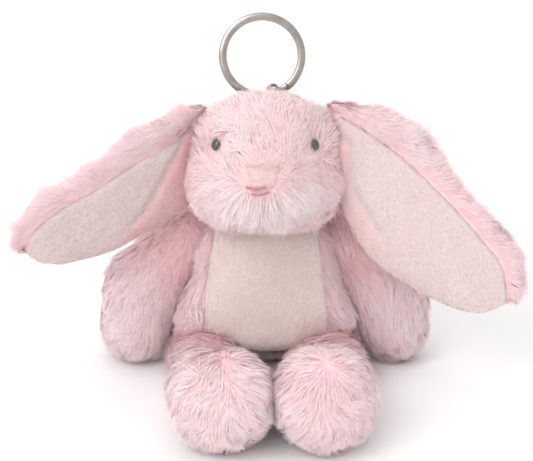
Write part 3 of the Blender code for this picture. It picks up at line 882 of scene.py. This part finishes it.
def belly_half(z):
    """Half the belly panel's width at a height."""
    share = (z - BELLY_LOW.z) / (BELLY_HIGH.z - BELLY_LOW.z)
    return BELLY_HIGH.x * (1.04 - 0.22 * np.clip(share, 0, 1) ** 1.4)


def torso_density(points, normals):
    """The pile is at the sides and back. The belly panel in front is smooth."""
    inside = np.abs(points[:, 0]) < belly_half(points[:, 2]) - 1.2 * MM
    front = (normals[:, 1] < -0.1) & inside & (points[:, 2] > BELLY_LOW.z - 4 * MM)
    under = points[:, 2] < 3 * MM
    return np.where(front | under, 0.0, 1.0)


grow(
    "torso_fur", torso_skin, "torso", BODY_FUR, comb_torso, PILE, STRANDS["torso"],
    torso_density, limb_painted_shade(NECK, 26 * MM), SEEDS["torso"],
)


SHOULDER_OFFSET = (-5, 0, 8)
SHOULDER_RADIUS = 9 * MM
SHOULDER_RISE = 4.5 * MM
PAW_HALF = 6 * MM


def comb_arm(shoulder, paw):
    heading = unit(paw - shoulder)

    def comb(points, normals):
        round_paw = unit(points - (paw - heading * PAW_HALF))
        end = smooth_step(0.45, 1.0, (points - shoulder) @ heading / np.linalg.norm(paw - shoulder))
        return heading + round_paw * end[:, None] * 0.8 + swirl(points, "arm")

    return comb


def build_arm(name, seed):
    nodes = (f"arm_{name}_front", f"arm_{name}_back")
    shoulder = joint_pivot(f"arm_{name}_swing")
    outwards, back, up = SHOULDER_OFFSET
    top = shoulder + np.array((outwards * SIDES[name], back, up)) * MM

    def fuller_shoulder(points, normals):
        return swell(points, normals, top, SHOULDER_RADIUS, SHOULDER_RISE)

    skin = hull_skin(f"arm_{name}_skin", nodes, fuller_shoulder)
    dress(skin, f"arm_{name}", UNDERCOAT, nodes=nodes)
    points = node_points(nodes)
    low = points[points[:, 2] < np.percentile(points[:, 2], 20)]
    paw = low.mean(axis=0)
    grow(
        f"arm_{name}_fur", skin, f"arm_{name}", BODY_FUR, comb_arm(shoulder, paw), PILE, STRANDS["arm"],
        everywhere, limb_painted_shade(shoulder, 22 * MM), seed,
    )


THIGH_FLATTER = 0.32
TOUCH_PLACE = np.array((0.2, 1.0, 1.0))
TOUCH_HEIGHT = 6 * MM
TOUCH_RADIUS = 11 * MM
TOUCH_RISE = 2.5 * MM
PARTING_WIDTH = 9 * MM


def comb_leg(hip, foot):
    """Along the leg at first, then down the foot's front, away from a parting in its middle."""
    heading = unit(foot - hip)

    def comb(points, normals):
        front = smooth_step(0.55, 0.95, (points - hip) @ heading / np.linalg.norm(foot - hip))[:, None]
        parted = np.tanh((points[:, :1] - foot[0]) / PARTING_WIDTH) * np.array((0.8, 0.0, 0.0))
        fall = np.array((0.0, 0.0, -0.9))
        return parted + heading * 0.3 * (1 - front) + fall * front + swirl(points, "leg")

    return comb


def build_leg(name, seed):
    nodes = (f"leg_{name}_outer", f"leg_{name}_inner")
    hip = joint_pivot(f"leg_{name}_swing")
    points = node_points(nodes)
    ahead = points[points[:, 1] < np.percentile(points[:, 1], 30)]
    foot = (ahead.min(axis=0) + ahead.max(axis=0)) / 2
    touch = foot * TOUCH_PLACE + UP * TOUCH_HEIGHT

    def slim_thigh(points, normals):
        """Flatter behind the foot, and fuller where the two feet touch."""
        points = swell(points, normals, touch, TOUCH_RADIUS, TOUCH_RISE)
        reach = (points - hip) @ (foot - hip) / dot(foot - hip, foot - hip)
        flatter = 1 - THIGH_FLATTER * (1 - smooth_step(0.3, 0.85, reach))
        return points * np.stack((np.ones(len(points)), np.ones(len(points)), flatter), axis=1)

    skin = hull_skin(f"leg_{name}_skin", nodes, slim_thigh)
    dress(skin, f"leg_{name}", UNDERCOAT, nodes=nodes)
    fill_skin(skin, f"leg_{name}", f"leg_{name}_stuffing")
    grow(
        f"leg_{name}_fur", skin, f"leg_{name}", BODY_FUR, comb_leg(hip, foot), LEG_PILE,
        STRANDS["leg"], everywhere, limb_painted_shade(hip, 20 * MM), seed,
    )


for index, name in enumerate(SIDES):
    build_arm(name, SEEDS["arm"] + index)
    build_leg(name, SEEDS["leg"] + index)


def comb_tail(points, normals):
    return unit(points - TAIL) + np.array((0.0, 0.4, -0.4))


tail_skin = hull_skin("tail_skin", ("tail_cover",))
dress(tail_skin, "torso", UNDERCOAT, nodes=("tail_cover",))
grow(
    "tail_fur", tail_skin, "torso", BODY_FUR, comb_tail, TAIL_PILE,
    STRANDS["tail"], everywhere, untinted, SEEDS["tail"],
)


# Ears: a padded leaf each, drawn in its own axes (along it, across it, out of its lining)

EAR_OUTLINES = {
    "left": {
        "upper": (
            (-9, 3), (0, 7.5), (10, 11.5), (20, 12.5), (32, 10.5),
            (42, 10.5), (51, 12.5), (59, 11), (65, 7.5), (69.5, 0),
        ),
        "lower": (
            (-9, -3), (2, -15), (9, -23), (20, -25.5), (34, -23.5),
            (47, -21.5), (57, -17), (63.5, -12), (68, -5), (69.5, 0),
        ),
        "band": ((-9, 1), (15, 4.5), (38, 5.5), (58, 6.5), (65, 4), (69.5, -1)),
        "crease": ((2, 2), (15, -6.5), (28, -14.5), (42, -17)),
    },
    "right": {
        "upper": (
            (-9, 4), (-2, 9), (6, 14.5), (16, 17), (27, 16),
            (40, 12.5), (54, 12), (66, 11), (75, 6.5), (81.5, -3),
        ),
        "lower": (
            (-9, -4), (3, -10), (11, -16.5), (23, -22.5), (37, -26),
            (50, -24.8), (64, -21), (73, -16.5), (78.5, -11), (81.5, -3),
        ),
        "band": ((-9, 2), (8, 7.5), (21, 8.7), (45, 8), (60, 6.3), (71, 4), (81.5, -5)),
        "crease": ((6, -1), (13, -9), (27, -15), (37, -17.5)),
    },
}

# The joint's axis gives the leaf's plane. These degrees turn its long axis within it.
EAR_AIM = {"left": -0.8, "right": 2.1}
# How strong the painted shade is on each ear's lining below its crease.
EAR_FOLD_SHADE = {"left": 1.0, "right": 0.55}
EAR_HALF_THICKNESS = 4.3 * MM
EAR_CUP = 1.6 * MM
EAR_ROOT_SINK = 3.0 * MM
EAR_FILLING_INSET = 1.6 * MM
EAR_GROOVE = 0.5 * MM
EAR_GROOVE_WIDTH = 1.3 * MM
EAR_CREASE = 0.9 * MM
EAR_CREASE_WIDTH = 1.6 * MM
EAR_CREASE_FADE = (26 * MM, 44 * MM)
EAR_RIPPLE = 0.6 * MM
EAR_RIPPLE_LENGTH = 5.5 * MM
EAR_STATIONS = 110
EAR_ACROSS = 36
LINING_PROUD = 0.5 * MM


def curve_through(points, at):
    """A smooth curve y(x) through a few points, read at some places. Millimetres in, metres out."""
    x = np.array([point[0] for point in points], float) * MM
    y = np.array([point[1] for point in points], float) * MM
    slope = np.gradient(y, x)
    index = np.clip(np.searchsorted(x, at) - 1, 0, len(x) - 2)
    gap = x[index + 1] - x[index]
    t = np.clip((at - x[index]) / gap, 0, 1)
    rise = y[index] * (2 * t**3 - 3 * t**2 + 1) + y[index + 1] * (3 * t**2 - 2 * t**3)
    return rise + gap * (slope[index] * (t**3 - 2 * t**2 + t) + slope[index + 1] * (t**3 - t**2))


class Ear:
    def __init__(self, name):
        side = SIDES[name]
        self.name = name
        self.body = f"ear_{name}"
        self.pivot = joint_pivot(f"ear_{name}_lift")
        self.front = joint_axis(f"ear_{name}_lift") * side
        reach = node_points((f"ear_{name}_back",)) - self.pivot
        reach = reach - dot(reach, self.front) * self.front
        self.along = unit(reach[np.linalg.norm(reach, axis=1).argsort()[-40:]].mean(axis=0))
        self.along = self.turn(self.along, EAR_AIM[name] * side)
        self.across = np.cross(self.front, self.along) * side
        self.outline = EAR_OUTLINES[name]
        self.fold_shade = EAR_FOLD_SHADE[name]
        self.start = self.outline["upper"][0][0] * MM
        self.end = self.outline["upper"][-1][0] * MM

    def turn(self, vector, degrees):
        turn = Matrix.Rotation(math.radians(degrees), 3, Vector(self.front))
        return np.array(turn @ Vector(vector))

    def read(self, which, at):
        return curve_through(self.outline[which], at)

    def local(self, points):
        away = points - self.pivot
        return away @ self.along, away @ self.across, away @ self.front

    def place(self, s, w, face, inset=0.0):
        """The leaf's surface at s along and w across. face is 1 for its front and -1 for its back."""
        upper = self.read("upper", s)
        lower = self.read("lower", s)
        half = np.maximum((upper - lower) / 2, 1e-6)
        v = np.clip((w - (upper + lower) / 2) / half, -1, 1)
        span = np.clip((s - self.start) / (self.end - self.start), 0, 1)
        swell = (1 - np.abs(v) ** 2.6) ** 0.55 * np.clip(1 - (2 * span - 1) ** 8, 0, 1) ** 0.5
        depth = face * (EAR_HALF_THICKNESS - inset) * swell
        depth = depth + EAR_CUP * (v**2 - 0.2)
        depth = depth - EAR_ROOT_SINK * (1 - smooth_step(self.start, 10 * MM, s))
        depth = depth + np.where(v < 0, 1.0, 0.3) * EAR_RIPPLE * np.sin(s / EAR_RIPPLE_LENGTH + 1.0) * v**2
        if face > 0:
            groove = np.exp(-(((w - self.read("band", s)) / EAR_GROOVE_WIDTH) ** 2))
            crease = np.exp(-(((w - self.read("crease", s)) / EAR_CREASE_WIDTH) ** 2))
            crease = crease * (1 - smooth_step(*EAR_CREASE_FADE, s))
            depth = depth - EAR_GROOVE * groove - EAR_CREASE * crease
        s, w, depth = (value[..., None] for value in np.broadcast_arrays(s, w, depth))
        return self.pivot + self.along * s + self.across * w + self.front * depth

    def stations(self, count, start, end):
        turn = np.linspace(0.0, math.pi, count)
        return start + (end - start) * (1 - np.cos(turn)) / 2

    def body_mesh(self, name, inset=0.0):
        """The closed leaf, or a smaller one inside it."""
        edge = 0.01 * MM + inset
        s = self.stations(EAR_STATIONS, self.start + edge, self.end - edge)[:, None]
        upper = self.read("upper", s)
        lower = self.read("lower", s)
        swing = np.linspace(0, math.pi, EAR_ACROSS)[None, :]
        half = np.maximum((upper - lower) / 2 - inset, 0.05 * MM)
        w = (upper + lower) / 2 + half * np.cos(swing)
        front = self.place(s, w, 1, inset)
        back = self.place(s, w, -1, inset)[:, ::-1][:, 1:-1]
        rows = np.concatenate((front, back), axis=1)
        return swept(name, rows)

    def lining(self):
        """Short-pile panel on the front of the leaf, from its lower edge up to the long pile's band."""
        s = self.stations(90, self.start + 5 * MM, self.end - 1.0 * MM)[:, None]
        share = (1 - np.cos(np.linspace(0, math.pi, 44)))[None, :] / 2
        low = self.read("lower", s) + 0.02 * MM
        high = np.maximum(self.read("band", s) - 0.2 * MM, low + 0.2 * MM)
        w = low + (high - low) * share
        surface = self.place(s, w, 1)
        rim = np.minimum(share, 1 - share) * (high - low)
        ends = np.minimum(s - s[0], s[-1] - s)
        proud = smooth_step(0.0, 0.7 * MM, np.minimum(rim, ends + 0.3 * MM)) * 2 - 1
        surface = surface + self.front * (proud * LINING_PROUD)[..., None]
        return panel(f"{self.body}_lining", surface, -0.5 * MM)


def build_ear(name, seed):
    ear = Ear(name)
    skin = ear.body_mesh(f"{ear.body}_skin")
    wadding = ear.body_mesh(f"{ear.body}_filling", EAR_FILLING_INSET)
    dress(wadding, ear.body, FILLING, nodes=(f"ear_{name}_wadding",))
    dress(skin, ear.body, EAR_BACKING, nodes=(f"ear_{name}_back",))
    lining = ear.lining()
    dress(lining, ear.body, EAR_PILE, nodes=(f"ear_{name}_lining",))

    def density(points, normals):
        s, w, depth = ear.local(points)
        on_front = normals @ ear.front > -0.15
        lined = on_front & (w < ear.read("band", s) + 0.3 * MM)
        hidden = (normals @ ear.front < -0.3) & (s < 60 * MM)
        return np.where(lined, 0.0, np.where(hidden, 0.4, 1.0))

    def comb(points, normals):
        s, w, depth = ear.local(points)
        edge = smooth_step(-4 * MM, 8 * MM, w)[:, None]
        tip = smooth_step(ear.end - 14 * MM, ear.end, s)[:, None]
        facing = smooth_step(-0.2, 0.4, normals @ ear.front)[:, None]
        outward = ear.across * edge * (0.05 + 0.5 * facing)
        return ear.along * (0.8 + 0.4 * tip) + outward + swirl(points, "ear")

    # Painted shade: deeper pink along the groove under the long pile's band and at the ear's root.
    def painted_shade(points, normals):
        s, w, depth = ear.local(points)
        groove = np.exp(-(((w - ear.read("band", s)) / (1.6 * MM)) ** 2))
        root = 1 - smooth_step(2 * MM, 16 * MM, s)
        return 0.2 * groove * (normals @ ear.front > 0) + 0.1 * root

    def trim(points, normals):
        s, w, depth = ear.local(points)
        return 0.2 + 0.8 * smooth_step(1 * MM, 10 * MM, w - ear.read("lower", s))

    def lined(points, normals):
        return (normals @ ear.front > 0.1).astype(float)

    def comb_lining(points, normals):
        return ear.along - ear.across * 0.3 + swirl(points, "lining")

    # Painted shade on the lining below its crease, strongest near the root, where the folded ear lies in
    # shadow.
    def fold_shade(points, normals):
        s, w, depth = ear.local(points)
        below = smooth_step(-1.5 * MM, 3.0 * MM, ear.read("crease", s) - w)
        fade = 1 - smooth_step(30 * MM, 50 * MM, s)
        root = 1 - smooth_step(0.0, 22 * MM, s)
        return ear.fold_shade * (0.45 * below * fade + 0.35 * root * below)

    grow(
        f"ear_{name}_nap", lining, ear.body, LINING_NAP, comb_lining, NAP,
        STRANDS["ear_nap"], lined, fold_shade, seed + 5,
    )
    for part, count in enumerate(STRANDS["ear"]):
        grow(
            f"ear_{name}_fur_{part + 1}", skin, ear.body, BODY_FUR, comb, EAR_PILE_LONG, count,
            density, painted_shade, seed + part, trim,
        )


for index, name in enumerate(SIDES):
    build_ear(name, SEEDS["ear"] + 10 * index)


# Smooth panels laid on a skin: the belly and the nose


def skin_tree(skin):
    return BVHTree.FromPolygons(
        [vertex.co.copy() for vertex in skin.data.vertices],
        [tuple(face.vertices) for face in skin.data.polygons],
    )


def laid_panel(name, skin, x_rows, z_rows, proud, rim_width):
    """A panel laid on the front of a skin. Its rim sinks into the skin, so the pile closes over it."""
    tree = skin_tree(skin)
    forward = Vector((0, 1, 0))
    down, across = x_rows.shape
    rows = np.zeros((down, across, 3))
    for i in range(down):
        for j in range(across):
            start = Vector((x_rows[i, j], -0.15, z_rows[i, j]))
            hit, normal, face, distance = tree.ray_cast(start, forward)
            if hit is None:
                hit, normal, face, distance = tree.find_nearest(start + forward * 0.12)
            rim = min(i, down - 1 - i, j, across - 1 - j) / rim_width
            lift = proud * (2 * float(smooth_step(0.0, 1.0, rim)) - 1)
            rows[i, j] = hit + normal * lift
    return panel(name, rows, -0.5 * MM)


def facing_front(points, normals):
    return (normals[:, 1] < 0).astype(float)


def comb_belly(points, normals):
    return np.array((0.0, 0.0, -1.0)) + swirl(points, "belly")


def build_belly():
    rows = 46
    columns = 60
    height = np.linspace(0, 1, rows)[:, None]
    bottom = max(BELLY_LOW.z - 4.0 * MM, 1.5 * MM)
    top = BELLY_HIGH.z + 3.0 * MM
    side = np.linspace(-1, 1, columns)[None, :]
    z = bottom + (top - bottom) * height
    belly = laid_panel("belly", torso_skin, belly_half(z) * side, z + 0 * side, 0.9 * MM, 3)
    dress(belly, "torso", SHORT_PILE, nodes=("belly_panel",))
    grow(
        "belly_nap", belly, "torso", CREAM_NAP, comb_belly, NAP,
        STRANDS["belly"], facing_front, untinted, SEEDS["belly"],
    )


def build_nose():
    rows = 26
    columns = 34
    height = np.linspace(-1, 1, rows)[:, None]
    side = np.linspace(-1, 1, columns)[None, :]
    half = (5.7 + 1.8 * height) * MM * np.sqrt(1 - 0.75 * np.abs(height) ** 5)
    z = NOSE[2] + 4.8 * MM * height
    nose = laid_panel("nose_pad", head_skin, NOSE[0] + half * side, z + 0 * side, 0.6 * MM, 6)
    grow(
        "nose_nap", nose, "head", NOSE_NAP, comb_belly, NAP,
        STRANDS["nose"], facing_front, untinted, SEEDS["nose"],
    )
    dress(nose, "head", NOSE_PILE)


build_belly()
build_nose()


# Eyes and mouth


def build_eye(name):
    place, outward = EYES[name]
    node = f"eye_{name}"
    bm = bmesh.new()
    bmesh.ops.create_uvsphere(bm, u_segments=40, v_segments=24, radius=EYE_RADIUS)
    for vertex in bm.verts:
        vertex.co.x *= EYE_NARROWNESS
        vertex.co.z *= EYE_FLATNESS
    turn = Vector(outward).to_track_quat("Z", "Y").to_matrix().to_4x4()
    shift = Matrix.Translation(Vector(place - outward * EYE_SUNK))
    bmesh.ops.transform(bm, matrix=shift @ turn, verts=bm.verts)
    mesh = bpy.data.meshes.new(f"{node}_bead")
    bm.to_mesh(mesh)
    bm.free()
    mesh.shade_smooth()
    dress(add_object(f"{node}_bead", mesh), "head", BEAD, nodes=(node,))


for name in SIDES:
    build_eye(name)


def thread_curve(name, lines, radius):
    """Stitched thread: one tube along each line of points."""
    curve = bpy.data.curves.new(name, "CURVE")
    curve.dimensions = "3D"
    curve.bevel_depth = radius
    curve.bevel_resolution = 4
    curve.use_fill_caps = True
    for line in lines:
        spline = curve.splines.new("BEZIER")
        spline.bezier_points.add(len(line) - 1)
        for point, place in zip(spline.bezier_points, line):
            point.co = place
            point.handle_left_type = "AUTO"
            point.handle_right_type = "AUTO"
    return apply_curve(add_object(name, curve))


def apply_curve(piece):
    bpy.context.view_layer.update()
    graph = bpy.context.evaluated_depsgraph_get()
    mesh = bpy.data.meshes.new_from_object(piece.evaluated_get(graph))
    name = piece.name
    bpy.data.objects.remove(piece)
    return add_object(name, mesh)


# The stitches of the mouth: x and z in millimetres
MOUTH_LINES = (
    ((-5.8, 80.4), (-5.2, 80.0), (-4.7, 80.4)),
    ((-4.6, 79.9), (-2.4, 79.9), (0.2, 80.7)),
    ((-4.4, 78.5), (-2.0, 78.3), (1.2, 79.2)),
)
THREAD_RADIUS = 0.3 * MM
THREAD_LIFT = 1.5 * MM


def build_mouth():
    tree = skin_tree(head_skin)
    lines = []
    for line in MOUTH_LINES:
        places = []
        for x, z in line:
            start = Vector((x * MM, -0.1, z * MM))
            hit, normal, face, distance = tree.ray_cast(start, Vector((0, 1, 0)))
            places.append(hit + normal * THREAD_LIFT)
        lines.append(places)
    mouth = thread_curve("mouth_thread", lines, THREAD_RADIUS)
    dress(mouth, "head", THREAD, nodes=("mouth_stitch",))


build_mouth()


# Ring hardware

RING_LEAN = math.radians(14)
RING_BAND = 2.7 * MM
RING_WIRE_HEIGHT = 1.2 * MM
RING_COIL_PITCH = 1.35 * MM
RING_FIRST_ANGLE = 300
RING_START = 10
RING_END = 686
RING_CLIMB = (326, 366)
JUMP_WIRE = 0.6 * MM
JUMP_TURN = math.radians(38)


def build_split_ring():
    low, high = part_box("split_ring")
    centre = np.array((low + high) / 2)
    middle_radius = (high.x - low.x) / 2 - RING_BAND / 2
    upward = np.array((0, math.sin(RING_LEAN), math.cos(RING_LEAN)))
    backward = np.array((0, math.cos(RING_LEAN), -math.sin(RING_LEAN)))
    sideways = np.array((1.0, 0.0, 0.0))
    sections = []
    for turned in np.arange(RING_START, RING_END, 2.5):
        angle = math.radians(turned + RING_FIRST_ANGLE)
        outward = sideways * math.cos(angle) + upward * math.sin(angle)
        level = RING_COIL_PITCH * (float(smooth_step(*RING_CLIMB, turned)) - 0.5)
        ring = []
        for corner in np.linspace(0, 2 * math.pi, 20, endpoint=False):
            across, over = math.cos(corner), math.sin(corner)
            across = math.copysign(abs(across) ** 0.45, across) * RING_BAND / 2
            over = math.copysign(abs(over) ** 0.7, over) * RING_WIRE_HEIGHT / 2
            ring.append(centre + outward * (middle_radius + across) + backward * (level + over))
        sections.append(ring)
    wire = swept("key_ring", sections)
    dress(wire, "split_ring", NICKEL, nodes=("split_ring",))


def build_jump_ring():
    low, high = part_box("jump_ring")
    centre = Vector((low + high) / 2)
    radius = (high.z - low.z) / 2 - JUMP_WIRE
    bpy.ops.mesh.primitive_torus_add(
        major_radius=radius, minor_radius=JUMP_WIRE, major_segments=96, minor_segments=18,
        location=centre, rotation=(0, math.pi / 2, -JUMP_TURN),
    )
    ring = bpy.context.object
    ring.name = "jump_ring_wire"
    ring.data.shade_smooth()
    dress(ring, "jump_ring", NICKEL, nodes=("jump_ring",))


build_split_ring()
build_jump_ring()


# CAD nodes that stay as they are, inside or under the pile


def cover_node(name, material):
    mesh = frame["nodes"][name].data
    mesh.materials.clear()
    mesh.materials.append(material)


for name in frame["nodes"]:
    if name.endswith("stuffing") or name.endswith("wadding"):
        cover_node(name, FILLING)
cover_node("pellet_pouch", POUCH)
cover_node("care_label", TAPE)
cover_node("neck_seam_thread", THREAD)
cover_node("hanging_loop", RIBBON)
for name in SIDES:
    cover_node(f"eye_washer_{name}", WASHER)


# Stage, light and camera


FLOOR_TINTS = ((0.95, 0.95, 0.95), (0.97, 0.97, 0.97))
WORLD_TINT = (1.0, 0.99, 0.985, 1.0)
WORLD_STRENGTH = 0.88
LIGHT_AIM = (0, 0, 0.05)


def build_floor():
    bpy.ops.mesh.primitive_plane_add(size=6.0, location=(0, 0, 0))
    floor = bpy.context.object
    floor.name = "floor"
    made, tree, shader = new_material("floor_paper")
    patch = ramp(tree, noise(tree, 3.0), 0.3, 0.7)
    tree.links.new(colour_mix(tree, patch, *FLOOR_TINTS), shader.inputs["Base Color"])
    shader.inputs["Roughness"].default_value = 1.0
    shader.inputs["Specular IOR Level"].default_value = 0.0
    floor.data.materials.append(made)


def area_light(name, place, aim, size, power, colour=(1.0, 1.0, 1.0)):
    light = bpy.data.lights.new(name, "AREA")
    light.size = size
    light.energy = power
    light.color = colour
    lamp = add_object(name, light)
    lamp.location = place
    lamp.rotation_euler = (Vector(aim) - Vector(place)).to_track_quat("-Z", "Y").to_euler()


CAMERA_AIM = Vector((0.3, -18.9, 57.7)) * MM
CAMERA_ELEVATION = math.radians(22)
CAMERA_DISTANCE = 600 * MM
CAMERA_LENS = 117.5


def build_camera():
    data = bpy.data.cameras.new("camera")
    data.lens = CAMERA_LENS
    data.clip_start = 0.01
    camera = add_object("camera", data)
    back = Vector((0, -math.cos(CAMERA_ELEVATION), math.sin(CAMERA_ELEVATION)))
    camera.location = CAMERA_AIM + back * CAMERA_DISTANCE
    camera.rotation_euler = (math.pi / 2 - CAMERA_ELEVATION, 0, 0)
    bpy.context.scene.camera = camera


def build_world():
    world = bpy.data.worlds.new("studio")
    world.use_nodes = True
    background = world.node_tree.nodes["Background"]
    background.inputs["Color"].default_value = WORLD_TINT
    background.inputs["Strength"].default_value = WORLD_STRENGTH
    bpy.context.scene.world = world
    bpy.context.scene.view_settings.view_transform = "Standard"


build_floor()
area_light("key", (-0.55, -0.55, 0.85), LIGHT_AIM, size=0.5, power=2.2, colour=(1.0, 0.985, 0.97))
area_light("front", (-0.35, -0.8, 0.6), LIGHT_AIM, size=0.6, power=2.6)
area_light("top", (0.0, 0.1, 1.2), (0, 0, 0), size=1.0, power=1.8)
build_world()
build_camera()
